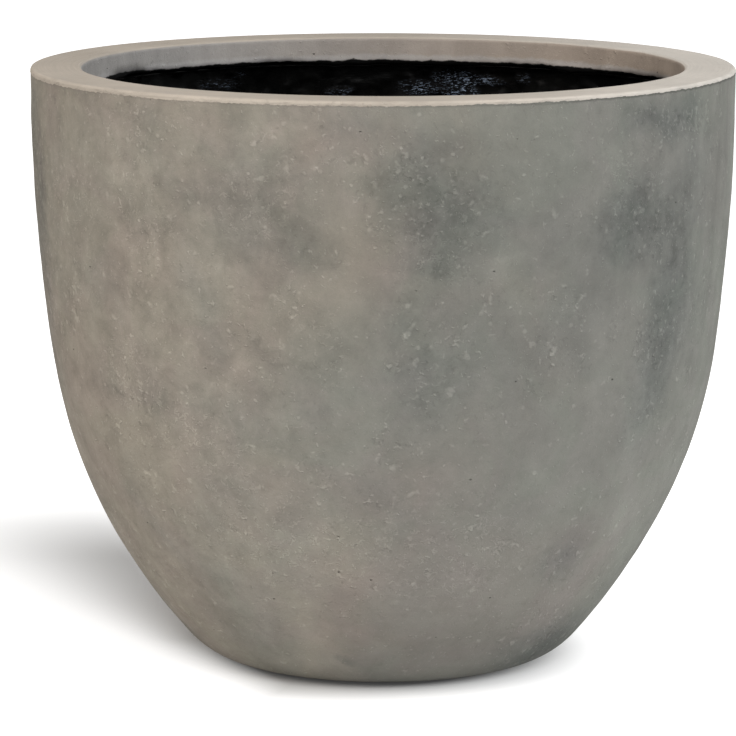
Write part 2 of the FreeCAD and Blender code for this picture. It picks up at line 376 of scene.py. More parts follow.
def make_coat():
    """The black coat: up the outside, in under the lip, down the inside and across the floor."""
    lip_reach = MOUTH_RADIUS + LIP_ROUNDING + COAT_WALL
    top, bottom = math.pi / 2, 3 * math.pi / 2
    under = COAT_TOP - COAT_WALL
    seen_from = HEIGHT - COAT_SEEN_DEPTH
    inside = wall_upwards(COAT_INSIDE, under, FINE_STEP * 2)[::-1]
    section = np.vstack((
        line((DRAIN_RADIUS, COAT_OUTSIDE), (BASE_RADIUS, COAT_OUTSIDE), HIDDEN_STEP),
        wall_upwards(COAT_OUTSIDE, COAT_TOP, HIDDEN_STEP),
        line((radius_at(COAT_OUTSIDE, COAT_TOP), COAT_TOP), (lip_reach, COAT_TOP), WALL_STEP),
        arc((lip_reach, COAT_TOP - COAT_WALL / 2), COAT_WALL / 2, top, bottom, FINE_STEP / 2),
        line((lip_reach, under), (radius_at(COAT_INSIDE, under), under), FINE_STEP * 2),
        inside[inside[:, 1] > seen_from],
        inside[inside[:, 1] <= seen_from][::COAT_HIDDEN_RINGS],
        line((BASE_RADIUS, COAT_INSIDE), (DRAIN_RADIUS, COAT_INSIDE), WALL_STEP * 2),
        line((DRAIN_RADIUS, COAT_INSIDE), (DRAIN_RADIUS, COAT_OUTSIDE), WALL_STEP),
    ))
    coat = turned_mesh("inside_coat", section, coat_relief)
    coat.data.materials.append(coat_material())
    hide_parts("seal_coat")
    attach(coat, "pot")


# The middle value of a noise
MIDDLE = 0.5
# The noise that bends the outlines of soft spots: how many to the metre, detail
BEND_SCALE = 30.0
BEND_DETAIL = 6.0


class Nodes:
    """The node tree of a material or a world, with short ways to add and join nodes."""

    def __init__(self, owner):
        owner.use_nodes = True
        self.tree = owner.node_tree

    def add(self, kind, inputs=(), **settings):
        node = self.tree.nodes.new("ShaderNode" + kind)
        for key, value in settings.items():
            setattr(node, key, value)
        for key, value in dict(inputs).items():
            self.feed(node.inputs[key], value)
        return node

    def feed(self, socket, value):
        if isinstance(value, bpy.types.NodeSocket):
            self.tree.links.new(value, socket)
        else:
            socket.default_value = value

    def math(self, operation, first, second=0.0, third=0.0):
        return self.add("Math", {0: first, 1: second, 2: third}, operation=operation).outputs[0]

    def seen(self):
        """1 for rays that the camera, a reflection or a clear body sends, and 0 for the light itself."""
        path = self.add("LightPath").outputs
        seen = self.math("MAXIMUM", path["Is Camera Ray"], path["Is Glossy Ray"])
        return self.math("MAXIMUM", seen, path["Is Transmission Ray"])


class Shader(Nodes):
    """A new material, with its places, noises, ramps and mixtures."""

    def __init__(self, name):
        self.material = bpy.data.materials.new(name)
        super().__init__(self.material)
        self.surface = self.tree.nodes["Principled BSDF"]
        self.place = self.add("TexCoord").outputs["Object"]
        self.x, self.y, self.z = self.add("SeparateXYZ", {0: self.place}).outputs
        self.across = self.length(self.add("CombineXYZ", {0: self.x, 1: self.y}).outputs[0])

    def set(self, **inputs):
        """Feeds the surface's own sockets, named with _ for a space."""
        for key, value in inputs.items():
            self.feed(self.surface.inputs[key.replace("_", " ")], value)

    def product(self, *values):
        total = values[0]
        for value in values[1:]:
            total = self.math("MULTIPLY", total, value)
        return total

    def rest(self, share):
        """What a share leaves of 1."""
        return self.math("SUBTRACT", 1.0, share)

    def swing(self, noise):
        """A noise counted from its middle."""
        return self.math("SUBTRACT", noise, MIDDLE)

    def noise(self, scale, detail=3.0, roughness=0.55, distortion=0.0, shift=0.0, place=None):
        """A noise by how many to the metre, detail, roughness, distortion, and how far off it is taken."""
        if shift:
            place = self.stretch(1, 1, 1, shift)
        inputs = {"Vector": place or self.place, "Scale": scale, "Detail": detail,
                  "Roughness": roughness, "Distortion": distortion}
        return self.add("TexNoise", inputs).outputs["Fac"]

    def cells(self, scale, place=None):
        """Distance to the nearest of scattered points, and three random numbers for each of them."""
        node = self.add("TexVoronoi", {"Vector": place or self.place, "Scale": scale})
        numbers = self.add("SeparateColor", {0: node.outputs["Color"]}).outputs
        return node.outputs["Distance"], *numbers

    def stretch(self, x, y, z, shift=0.0):
        inputs = {"Vector": self.place, "Scale": (x, y, z), "Location": (shift, shift, shift)}
        return self.add("Mapping", inputs).outputs[0]

    def moved(self, place, by):
        return self.add("VectorMath", {0: place, 1: by}, operation="ADD").outputs[0]

    def length(self, place):
        return self.add("VectorMath", {0: place}, operation="LENGTH").outputs["Value"]

    def ramp(self, value, low, high, start=0.0, end=1.0):
        inputs = {"Value": value, "From Min": low, "From Max": high, "To Min": start, "To Max": end}
        return self.add("MapRange", inputs, interpolation_type="SMOOTHSTEP").outputs[0]

    def rising(self, noise, span, place=None):
        """Where a noise rises through a span."""
        return self.ramp(self.noise(*noise, place=place), *span)

    def over_lip(self, value, low, high, *levels):
        """A ramp between two heights over the lip's bottom."""
        return self.ramp(value, LIP_BOTTOM + low, LIP_BOTTOM + high, *levels)

    def past_mouth(self, low, high):
        """A ramp between two distances outwards from the mouth."""
        return self.ramp(self.across, MOUTH_RADIUS + low, MOUTH_RADIUS + high)

    def mix(self, share, first, second, blend="MIX"):
        node = self.add("Mix", data_type="RGBA", blend_type=blend)
        for key, value in ((0, share), (6, first), (7, second)):
            self.feed(node.inputs[key], value)
        return node.outputs[2]

    def tinted(self, colour, tint):
        return self.mix(1.0, colour, tint, "MULTIPLY")

    def scaled(self, colour, factor):
        return self.add("VectorMath", {0: colour, "Scale": factor}, operation="SCALE").outputs[0]

    def sum(self, base, *terms):
        """A base plus terms of (value, weight) or (value, weight, middle that counts as 0)."""
        total = base
        for value, weight, *middle in terms:
            total = self.math("MULTIPLY_ADD", value, weight, total)
            if middle:
                total = self.math("SUBTRACT", total, weight * middle[0])
        return total

    def ragged(self, value, noise, amount):
        """A value that a noise moves up and down by half an amount."""
        return self.sum(value, (self.noise(*noise), amount, MIDDLE))

    def bump(self, height, distance, normal=None):
        node = self.add("Bump", {"Height": height, "Distance": distance})
        if normal is not None:
            self.feed(node.inputs["Normal"], normal)
        return node.outputs[0]

    def spots(self, rows, wander, inset):
        """How far each place lies in soft spots: (degrees right of the front, height, half sizes, depth)."""
        inputs = {"Vector": self.place, "Scale": BEND_SCALE, "Detail": BEND_DETAIL}
        colour = self.add("TexNoise", inputs).outputs["Color"]
        inputs = {0: colour, 1: (MIDDLE, MIDDLE, MIDDLE)}
        drift = self.add("VectorMath", inputs, operation="SUBTRACT").outputs[0]
        place = self.moved(self.place, self.scaled(drift, wander))
        wall = wall_upwards(inset, HEIGHT, WALL_STEP)
        total = 0.0
        for degrees, height, half_width, half_height, depth in rows:
            turn = math.radians(degrees)
            reach = float(np.interp(height, wall[:, 1], wall[:, 0]))
            centre = (reach * math.sin(turn), -reach * math.cos(turn), height)
            inputs = {"Vector": place, "Location": centre, "Scale": (half_width, half_width, half_height)}
            local = self.add("Mapping", inputs, vector_type="TEXTURE").outputs[0]
            ball = self.add("TexGradient", {"Vector": local}, gradient_type="SPHERICAL")
            total = self.math("MULTIPLY_ADD", ball.outputs["Fac"], depth, total)
        return total


def tone(red, green, blue):
    """A colour written as screen values of 0 to 255, in linear light."""
    channels = [value / 255 for value in (red, green, blue)]
    return tuple(c / 12.92 if c <= 0.04045 else ((c + 0.055) / 1.055) ** 2.4 for c in channels) + (1.0,)


# Soft spots on the outside, some of them painted shade or light as marked: degrees right of the front,
# height, half width, half height, depth
DARK_CLOUDS_AND_PAINTED_SHADE = (
    (8, 0.430, 0.080, 0.065, 0.95),
    (11, 0.412, 0.070, 0.050, 0.25),
    (3, 0.366, 0.042, 0.036, 0.4),
    (4, 0.456, 0.045, 0.035, 0.4),
    (9, 0.348, 0.050, 0.045, 0.15),
    (-12, 0.250, 0.055, 0.120, 0.40),
    (-15, 0.185, 0.050, 0.050, 0.35),
    (-24, 0.250, 0.060, 0.040, 0.4),
    (-14, 0.405, 0.050, 0.035, 0.3),
    # Darker along the grazing left edge, partly stains and partly painted shade
    (-78, 0.400, 0.050, 0.110, 1.0),
    (-10, 0.375, 0.030, 0.030, 0.4),
    (8, 0.378, 0.030, 0.025, 0.4),
    (3, 0.325, 0.050, 0.045, 0.5),
    (6, 0.258, 0.050, 0.060, 0.6),
    (10, 0.300, 0.050, 0.060, 0.4),
    (11, 0.486, 0.055, 0.026, 0.4),
    (28, 0.400, 0.060, 0.050, 0.4),
    (26, 0.300, 0.080, 0.080, 0.4),
    (-5, 0.488, 0.050, 0.020, 0.6),
    (-14, 0.444, 0.060, 0.042, 0.45),
    (-22, 0.440, 0.045, 0.030, 0.3),
    (-31, 0.434, 0.035, 0.022, 0.6),
    (-11, 0.390, 0.035, 0.040, 0.35),
    (-22, 0.400, 0.060, 0.035, 0.5),
    (-6, 0.310, 0.060, 0.050, 0.3),
    (-22, 0.310, 0.050, 0.035, 0.4),
    (44, 0.412, 0.055, 0.055, 0.9),
    (40, 0.390, 0.045, 0.040, 0.5),
    (49, 0.486, 0.075, 0.026, 1.0),
    (37, 0.350, 0.065, 0.050, 0.3),
    (58, 0.450, 0.060, 0.080, 0.6),
    (60, 0.330, 0.080, 0.110, 0.5),
    (53, 0.340, 0.045, 0.110, 0.8),
    (50, 0.250, 0.045, 0.080, 0.7),
    (39, 0.118, 0.045, 0.040, 0.8),
    # Painted shade at the foot on the right
    (52, 0.028, 0.080, 0.035, 1.0),
    (-10, 0.029, 0.014, 0.008, 1.0),
    # The next three rows: darker along the grazing left edge, partly stains and partly painted shade
    (-84, 0.420, 0.080, 0.100, 1.0),
    (-84, 0.280, 0.070, 0.100, 0.9),
    (-88, 0.110, 0.040, 0.050, 0.8),
    # The next two rows: painted shade at the foot on the left
    (-86, 0.060, 0.050, 0.055, 2.0),
    (-78, 0.028, 0.050, 0.030, 1.4),
    (-80, 0.490, 0.060, 0.025, 0.3),
    (-52, 0.363, 0.045, 0.045, 0.4),
    (-40, 0.330, 0.050, 0.035, 0.35),
    (-52, 0.262, 0.050, 0.035, 0.6),
    (-41, 0.252, 0.045, 0.030, 0.5),
    (-33, 0.290, 0.050, 0.035, 0.3),
    (0, 0.182, 0.040, 0.080, 0.5),
    (103, 0.425, 0.110, 0.060, 0.55),
    (113, 0.398, 0.070, 0.055, 0.45),
    (99, 0.380, 0.060, 0.060, 0.35),
    (128, 0.330, 0.100, 0.090, 0.35),
    (142, 0.285, 0.075, 0.100, 0.40),
    (152, 0.350, 0.110, 0.050, 0.35),
    (162, 0.450, 0.130, 0.050, 0.50),
    (175, 0.422, 0.085, 0.050, 0.45),
    (188, 0.382, 0.090, 0.080, 0.40),
    (198, 0.335, 0.070, 0.070, 0.35),
    (214, 0.440, 0.110, 0.050, 0.45),
    (227, 0.412, 0.110, 0.060, 0.50),
    (236, 0.375, 0.060, 0.060, 0.35),
    (250, 0.300, 0.110, 0.090, 0.40),
    (262, 0.255, 0.075, 0.080, 0.35),
    (170, 0.160, 0.130, 0.070, 0.40),
    (205, 0.130, 0.090, 0.060, 0.35),
    (120, 0.115, 0.100, 0.060, 0.40),
)
PALE_CLOUDS_AND_PAINTED_LIGHT = (
    (-16, 0.484, 0.090, 0.022, 0.8),
    (-36, 0.350, 0.100, 0.100, 0.5),
    (-4, 0.430, 0.026, 0.032, 0.7),
    (-47, 0.445, 0.055, 0.040, 0.9),
    (-28, 0.128, 0.110, 0.090, 0.9),
    (-2, 0.130, 0.070, 0.080, 0.5),
    (13, 0.092, 0.080, 0.060, 0.9),
    (26, 0.120, 0.080, 0.060, 0.8),
    (60, 0.150, 0.080, 0.070, 0.9),
    (19, 0.376, 0.022, 0.022, 1.0),
    # The next seven rows: paler on the left side, partly the concrete's tone and partly painted light
    (-45, 0.200, 0.080, 0.060, 0.6),
    (-59, 0.440, 0.080, 0.070, 1.0),
    (-60, 0.350, 0.080, 0.080, 0.9),
    (-50, 0.275, 0.080, 0.060, 0.8),
    (-43, 0.455, 0.060, 0.045, 0.6),
    (-56, 0.380, 0.050, 0.050, 0.6),
    (-52, 0.470, 0.090, 0.035, 0.7),
    (-22, 0.030, 0.050, 0.035, 1.0),
    # The next five rows: paler along the grazing right edge, partly the concrete's tone and partly painted
    # sheen
    (88, 0.440, 0.070, 0.090, 1.3),
    (85, 0.330, 0.060, 0.100, 0.6),
    (78, 0.210, 0.070, 0.080, 0.9),
    (87, 0.240, 0.060, 0.080, 1.0),
    (86, 0.165, 0.060, 0.080, 1.2),
    (44, 0.085, 0.070, 0.055, 1.2),
    (50, 0.150, 0.050, 0.050, 0.5),
    (66, 0.120, 0.060, 0.060, 0.8),
    (-24, 0.050, 0.060, 0.050, 1.2),
    (125, 0.360, 0.090, 0.080, 0.8),
    (150, 0.200, 0.110, 0.090, 0.8),
    (205, 0.300, 0.100, 0.090, 0.9),
    (240, 0.150, 0.110, 0.080, 0.8),
    (270, 0.400, 0.080, 0.060, 0.7),
)
ROSE_CLOUDS = (
    (18, 0.080, 0.170, 0.090, 1.7),
    (38, 0.110, 0.100, 0.080, 1.0),
    (8, 0.200, 0.090, 0.120, 1.0),
    (-1, 0.375, 0.060, 0.060, 0.6),
    (-8, 0.480, 0.090, 0.025, 0.6),
    (150, 0.250, 0.120, 0.100, 0.8),
    (220, 0.100, 0.120, 0.080, 0.8),
)
# Clusters of wrinkled paste
CRUSTS = (
    (-62, 0.410, 0.070, 0.070, 1.0),
    (-42, 0.400, 0.060, 0.060, 0.8),
    (-47, 0.275, 0.055, 0.035, 1.2),
    (-37, 0.235, 0.055, 0.035, 1.0),
    (-29, 0.210, 0.045, 0.050, 0.8),
    (-20, 0.425, 0.065, 0.040, 1.0),
    (-15, 0.355, 0.022, 0.040, 1.3),
    (-9, 0.310, 0.025, 0.045, 1.3),
    (10, 0.395, 0.080, 0.075, 0.8),
    (43, 0.430, 0.065, 0.060, 0.9),
    (-22, 0.140, 0.100, 0.065, 1.0),
    (14, 0.140, 0.120, 0.090, 0.8),
    (100, 0.350, 0.100, 0.100, 0.9),
    (150, 0.200, 0.110, 0.080, 0.9),
    (195, 0.400, 0.100, 0.070, 0.9),
    (240, 0.260, 0.100, 0.090, 0.9),
)
# Black smeared up from the inside over the lip's lower edge
SMEARS = (
    (-119, 0.487, 0.045, 0.020, 1.0),
    (110, 0.487, 0.040, 0.020, 0.6),
    (30, 0.487, 0.050, 0.020, 0.8),
)


# Below, a noise is a row of how many to the metre, detail, roughness, distortion and how far off it is taken.
# A span, height or side is where a ramp starts and ends and, where they aren't 0 and 1, the levels there.

# Tones of the cast face, warm and paler on the left and cool and darker on the right, partly the concrete's
# own tone and partly painted light, and the tints over them
CAST_TONES_AND_PAINTED_LIGHT = (tone(147, 140, 130), tone(129, 129, 123))
PLAIN_TINT = (1, 1, 1, 1)
PATCH_TINTS = (1.012, 0.993, 1.0, 1), (0.99, 1.004, 0.988, 1)
BLUE_TINT = (0.95, 1.0, 1.03, 1)
ROSE_TINT = (1.035, 0.982, 0.992, 1)
BLUE_SHARE = 0.8
CLOUD_WANDER = 0.035
# Noises of the cast face
BROAD_NOISE, BROAD_SPAN = (6, 3, 0.6, 0.4), (0.05, 0.70)
COOLER_RIGHTWARDS = 1.5
PATCH_NOISE, PATCH_SPAN = (13, 3, 0.6, 0.8, 3), (0.38, 0.62)
SOFT_NOISE = (9, 5, 0.6, 0.5, 7)
MOTTLE_NOISE, MOTTLE_SIDE = (36, 6, 0.68, 0.3), (0, -0.15, 0.5, 1)
# Runs: vertical streaks, stronger towards the right, where they are partly painted sheen of the grazing edge
RUN_NOISE, RUN_STRETCH, RUN_AND_SHEEN_SIDE = (26, 4, 0.6, 0.2), (1, 1, 0.16, 5), (0.12, 0.28, 0.12, 0.5)
COARSE_NOISE, COARSE_IN_CLOUDS = (95, 3, 0.6, 0.4, 17), (0, 0.8, 0.15, 0.7)
# Painted shade at the foot on the right: below which height and from which side it darkens
PAINTED_FOOT_SHADE_HEIGHT, PAINTED_FOOT_SHADE_SIDE = (0.065, 0.015), (0.07, 0.16)
# Painted bounce light from the floor: paler towards the bottom of the wall and a little darker towards the
# top, about a middle height
PAINTED_BOUNCE_SPAN, PAINTED_BOUNCE_MIDDLE = (0.42, 0.06), 0.25
# How bright the cast face is, and how much each of them lightens it
CAST_LEVEL = 0.96
COARSE_WEIGHT = 0.6
PAINTED_FOOT_SHADE_WEIGHT = -0.20
SOFT_WEIGHT = 0.28
MOTTLE_WEIGHT = 0.95
RUN_AND_SHEEN_WEIGHT = 1.2
DARK_WEIGHT = -0.26
PALE_WEIGHT = 0.13
PAINTED_BOUNCE_WEIGHT = 0.30


def cast_tones(shader, dark, pale, rose):
    """The concrete's broad tones, partly painted light: warm to cool across the pot, tinted patches, mottling
    and runs.
    """
    # Warm and paler on the left, cool and darker on the right: partly the concrete's tone, partly painted
    # light
    leaning = shader.math("MULTIPLY_ADD", shader.x, COOLER_RIGHTWARDS, shader.noise(*BROAD_NOISE))
    colour = shader.mix(shader.ramp(leaning, *BROAD_SPAN), *CAST_TONES_AND_PAINTED_LIGHT)
    patches = shader.rising(PATCH_NOISE, PATCH_SPAN)
    colour = shader.tinted(colour, shader.mix(patches, *PATCH_TINTS))
    colour = shader.tinted(colour, shader.mix(shader.product(dark, BLUE_SHARE), PLAIN_TINT, BLUE_TINT))
    colour = shader.tinted(colour, shader.mix(rose, PLAIN_TINT, ROSE_TINT))
    soft = shader.noise(*SOFT_NOISE)
    mottle = shader.product(shader.swing(shader.noise(*MOTTLE_NOISE)), shader.ramp(shader.x, *MOTTLE_SIDE))
    # Vertical runs, stronger towards the right, where they are partly painted sheen
    runs = shader.swing(shader.noise(*RUN_NOISE, place=shader.stretch(*RUN_STRETCH)))
    runs = shader.product(runs, shader.ramp(shader.x, *RUN_AND_SHEEN_SIDE))
    coarse = shader.swing(shader.noise(*COARSE_NOISE))
    coarse = shader.product(coarse, shader.ramp(dark, *COARSE_IN_CLOUDS))
    # Painted shade darkening the foot on the right
    painted_foot_shade = shader.product(shader.ramp(shader.z, *PAINTED_FOOT_SHADE_HEIGHT), shader.ramp(shader.x, *PAINTED_FOOT_SHADE_SIDE))
    # Painted bounce light: paler towards the bottom
    low = shader.ramp(shader.z, *PAINTED_BOUNCE_SPAN)
    value = shader.sum(CAST_LEVEL, (coarse, COARSE_WEIGHT), (painted_foot_shade, PAINTED_FOOT_SHADE_WEIGHT),
                       (soft, SOFT_WEIGHT, MIDDLE), (mottle, MOTTLE_WEIGHT), (runs, RUN_AND_SHEEN_WEIGHT),
                       (dark, DARK_WEIGHT), (pale, PALE_WEIGHT), (low, PAINTED_BOUNCE_WEIGHT, PAINTED_BOUNCE_MIDDLE))
    return shader.scaled(colour, value)


# Grains that show at the face: how many to the metre, how pale
GRAINS = ((120.0, 0.34), (200.0, 0.44), (350.0, 0.40))
GRAIN_DETAIL = (1.0, 0.5, 0.3)
RAGGED_FINER = 3.5
RAGGED_DETAIL = 1.0
RAGGED_WEIGHT = 0.12
# The level of noise above which a grain shows, from loose to gathered, and over how much it comes in
GRAIN_LEVEL = (0.0, 1.0, 0.69, 0.605)
GRAIN_RISE = 0.16
# What gathers the grains: the overlap of two noises, the dark clouds, the left side and the lower wall
DRIFT_NOISE = (12, 4, 0.6, 0, 11)
TIGHT_NOISE = (34, 3, 0.6, 0.5, 13)
CLUSTER_SPAN = (0.40, 0.62)
GATHER_LEVEL = 0.15
CLUSTER_WEIGHT = 0.55
CLOUD_WEIGHT = 0.40
LEFT_SPAN, LEFT_WEIGHT = (-0.12, -0.22), 0.12
LOWER_SPAN, LOWER_WEIGHT = (0.30, 0.16), 0.12
# The shallow hollows between the grains, darkened with painted shade
HOLLOW_NOISE, HOLLOW_STRETCH, HOLLOW_SPAN = (190, 3, 0.6, 0.4), (1, 1, 0.9, 2), (0.54, 0.70)


def flecks(shader, dark):
    """Pale grains of sand and lime in loose clusters, and the shallow hollows between them."""
    drift = shader.rising(DRIFT_NOISE, CLUSTER_SPAN)
    tight = shader.rising(TIGHT_NOISE, CLUSTER_SPAN)
    gather = shader.sum(GATHER_LEVEL, (shader.product(drift, tight), CLUSTER_WEIGHT), (dark, CLOUD_WEIGHT),
                        (shader.ramp(shader.x, *LEFT_SPAN), LEFT_WEIGHT),
                        (shader.ramp(shader.z, *LOWER_SPAN), LOWER_WEIGHT))
    level = shader.ramp(gather, *GRAIN_LEVEL)
    pale = 0.0
    for scale, paleness in GRAINS:
        blob = shader.noise(scale, *GRAIN_DETAIL, scale)
        ragged = shader.ragged(blob, (scale * RAGGED_FINER, RAGGED_DETAIL), RAGGED_WEIGHT)
        spot = shader.ramp(ragged, level, shader.math("ADD", level, GRAIN_RISE))
        pale = shader.math("MULTIPLY_ADD", spot, paleness, pale)
    hollow = shader.rising(HOLLOW_NOISE, HOLLOW_SPAN, shader.stretch(*HOLLOW_STRETCH))
    return pale, shader.product(hollow, gather)


# Lumps of lime: how close, their ragged edge, how far they reach in their cell, and which cells have one
LUMPS_TO_THE_METRE = 105.0
LUMP_NOISE, LUMP_RAGGED = (420, 2), 0.14
LUMP_SPREAD, LUMP_LEAST = 0.17, 0.13
LUMP_CORE_SHARE = 0.35
LUMP_CHOICE = (0.915, 0.975, 0.0, 0.30)
LUMPS_IN_CLOUDS = 0.14


def lime_lumps(shader, dark):
    """A few soft pale lumps of lime, more of them in the dark clouds."""
    distance, lottery, size, _ = shader.cells(LUMPS_TO_THE_METRE)
    ragged = shader.ragged(distance, LUMP_NOISE, LUMP_RAGGED)
    reach = shader.math("MULTIPLY_ADD", size, LUMP_SPREAD, LUMP_LEAST)
    chosen = shader.ramp(shader.sum(lottery, (dark, LUMPS_IN_CLOUDS)), *LUMP_CHOICE)
    return shader.product(shader.ramp(ragged, reach, shader.math("MULTIPLY", reach, LUMP_CORE_SHARE)), chosen)


# Wrinkles: their clusters, what breaks them up, and the noise whose contours they follow
CRUST_WANDER, CRUST_SPAN = 0.06, (0.05, 0.7)
BREAK_NOISE, BREAK_SPAN = (150, 2, 0.5, 0, 29), (0.47, 0.58)
WRINKLE_NOISE = (150, 2, 0.6, 0.6, 23)
# The pale crests, partly painted highlight, and the sides in painted shade: on which contour, how wide, how
# much lighter
WRINKLE_LIGHT_AND_SHADE = ((0.52, 0.050, 0.24), (0.455, 0.035, -0.07))
WRINKLE_CORE = 0.008


def crust(shader):
    """Short wrinkles of dried paste in loose clusters: their pale crests, partly painted highlight, and their
    sides in painted shade.
    """
    clusters = shader.ramp(shader.spots(CRUSTS, CRUST_WANDER, 0.0), *CRUST_SPAN)
    broken = shader.rising(BREAK_NOISE, BREAK_SPAN)
    field = shader.noise(*WRINKLE_NOISE)
    total = 0.0
    for contour, width, lighter in WRINKLE_LIGHT_AND_SHADE:
        off = shader.math("ABSOLUTE", shader.math("SUBTRACT", field, contour))
        total = shader.math("MULTIPLY_ADD", shader.ramp(off, width, WRINKLE_CORE), lighter, total)
    return shader.product(total, clusters, broken)


# Air holes: how close, their ragged edge and size, which cells have one, and how many more along the lip
PITS_TO_THE_METRE, PIT_STRETCH = 125.0, (0.9, 0.9, 1.4)
PIT_NOISE, PIT_RAGGED, PIT_SPAN = (500, 2), 0.16, (0.14, 0.06)
PIT_CHOICE = (0.988, 0.996)
CROWD_NOISE, CROWD_SPAN = (9, 2, 0.5, 0, 9), (0.5, 0.68, 0, 0.03)
LIP_PITS_SPAN, LIP_PITS = (0.013, 0.009), 0.12


def pits(shader, band):
    """Small air holes, darkened with painted shade, rare on the wall and close together along the lip's
    inside.
    """
    distance, lottery, _, _ = shader.cells(PITS_TO_THE_METRE, shader.stretch(*PIT_STRETCH))
    crowd = shader.rising(CROWD_NOISE, CROWD_SPAN)
    low = shader.product(band, shader.over_lip(shader.z, *LIP_PITS_SPAN), LIP_PITS)
    chosen = shader.ramp(shader.math("ADD", lottery, shader.math("ADD", crowd, low)), *PIT_CHOICE)
    ragged = shader.ragged(distance, PIT_NOISE, PIT_RAGGED)
    return shader.product(shader.ramp(ragged, *PIT_SPAN), chosen)


# The strip's lower edge: how it tilts to the right, and how far each noise moves it
EDGE_TILT = -0.0028
EDGE_BEND_NOISE, EDGE_BEND = (40, 4, 0.6), 0.0018
EDGE_CHIP_NOISE, EDGE_CHIP = (190, 3, 0.6), 0.0030
EDGE_SOFTNESS = 0.0002
TOP_INNER_SPAN = (0.0002, 0.0012)
# The dark line below it, partly grime and partly painted shade under the strip: how far down it starts and is
# full, how far out, and on which side
DIRT_AND_SHADE_FROM, DIRT_AND_SHADE_FULL = 0.0026, 0.0006
DIRT_AND_SHADE_ACROSS, DIRT_AND_SHADE_SIDE = (0.28, 0.285), (0.02, 0.24, 0.15, 1.0)


def rim_edge(shader):
    """The pale rubbed top of the rim down to the strip over its outer edge, and the dark line below it,
    partly grime and partly painted shade.
    """
    wobble = shader.ragged(shader.sum(shader.z, (shader.x, EDGE_TILT)), EDGE_BEND_NOISE, EDGE_BEND)
    wobble = shader.ragged(wobble, EDGE_CHIP_NOISE, EDGE_CHIP)
    edge = HEIGHT - STRIP_DEPTH
    top = shader.product(shader.ramp(wobble, edge - EDGE_SOFTNESS, edge + EDGE_SOFTNESS),
                         shader.past_mouth(*TOP_INNER_SPAN))
    dirt_and_shade = shader.product(shader.ramp(wobble, edge - DIRT_AND_SHADE_FROM, edge - DIRT_AND_SHADE_FULL), shader.rest(top),
                          shader.ramp(shader.across, *DIRT_AND_SHADE_ACROSS), shader.ramp(shader.x, *DIRT_AND_SHADE_SIDE))
    return top, dirt_and_shade


# Tones of the rim's top on the left and the right: pale rubbed concrete, brighter on the right with painted
# light
RIM_TONES_AND_PAINTED_LIGHT = (tone(175, 166, 155), tone(204, 198, 190))
RIM_PAINTED_LIGHT_SIDE = (0.0, 0.30)
# Rubbed rings on the rim's top: how many to the metre outwards, and how they change along the rim
RINGS_TO_THE_METRE = 800.0
RINGS_ALONG = 14.0
RING_NOISE, RING_WEIGHT = (1, 3, 0.6), 0.30
BLOTCH_NOISE, BLOTCH_WEIGHT = (15, 5, 0.6), 0.45
# The outer edge: how far in it reaches, where its crest starts under the top, its wear and painted highlight
# along the crest, and its chips
OUTER_FROM, OUTER_FULL = 0.0040, 0.0024
CREST_FROM, CREST_FULL = 0.0022, 0.0012
WEAR_AND_HIGHLIGHT_NOISE, WEAR_AND_HIGHLIGHT_SPAN, WEAR_AND_HIGHLIGHT_WEIGHT = (50, 4, 0.6), (0.35, 0.6), 0.10
CHIP_NOISE, CHIP_STRETCH = (130, 4, 0.7, 0.3), (0.5, 0.5, 1.5)
CHIP_SPAN, CHIP_WEIGHT = (0.52, 0.66), -0.22


def rim_tones(shader):
    """Rim top: pale and brighter on the right with painted light, faint rubbed rings, a whiter crest partly
    from wear and partly painted highlight, and chips in the strip's face.
    """
    outwards = shader.math("MULTIPLY", shader.across, RINGS_TO_THE_METRE)
    outwards = shader.add("CombineXYZ", {2: outwards}).outputs[0]
    rings = shader.noise(*RING_NOISE, place=shader.moved(shader.scaled(shader.place, RINGS_ALONG), outwards))
    blotch = shader.noise(*BLOTCH_NOISE)
    outside = shader.ramp(shader.across, RIM_RADIUS - OUTER_FROM, RIM_RADIUS - OUTER_FULL)
    crest = shader.ramp(shader.z, HEIGHT - CREST_FROM, HEIGHT - CREST_FULL)
    # A whiter crest along the outer edge: partly wear, partly painted highlight
    wear_and_highlight = shader.product(outside, crest, shader.rising(WEAR_AND_HIGHLIGHT_NOISE, WEAR_AND_HIGHLIGHT_SPAN))
    chips = shader.rising(CHIP_NOISE, CHIP_SPAN, shader.stretch(*CHIP_STRETCH))
    chips = shader.product(outside, shader.rest(crest), chips)
    value = shader.sum(1.0, (rings, RING_WEIGHT, MIDDLE), (blotch, BLOTCH_WEIGHT, MIDDLE),
                       (wear_and_highlight, WEAR_AND_HIGHLIGHT_WEIGHT), (chips, CHIP_WEIGHT))
    return shader.scaled(shader.mix(shader.ramp(shader.x, *RIM_PAINTED_LIGHT_SIDE), *RIM_TONES_AND_PAINTED_LIGHT), value)


# The black brushed over the lip's edge: how ragged, how far smears lift it, and heights over the lip's bottom
SMEAR_WANDER, SMEAR_LIFT = 0.02, -0.003
BRUSH_NOISE, BRUSH_RAGGED = (45, 4, 0.6), 0.006
BRISTLE_NOISE, BRISTLE_RAGGED = (220, 3), 0.0016
PAINT_TOP = (0.0040, 0.0026)
PAINT_BOTTOM = (-0.012, -0.010)
PAINT_ACROSS = (0.034, 0.030)
SOOT_HEIGHT, SOOT_SPAN = (0.013, 0.002), (0.0, 0.6)


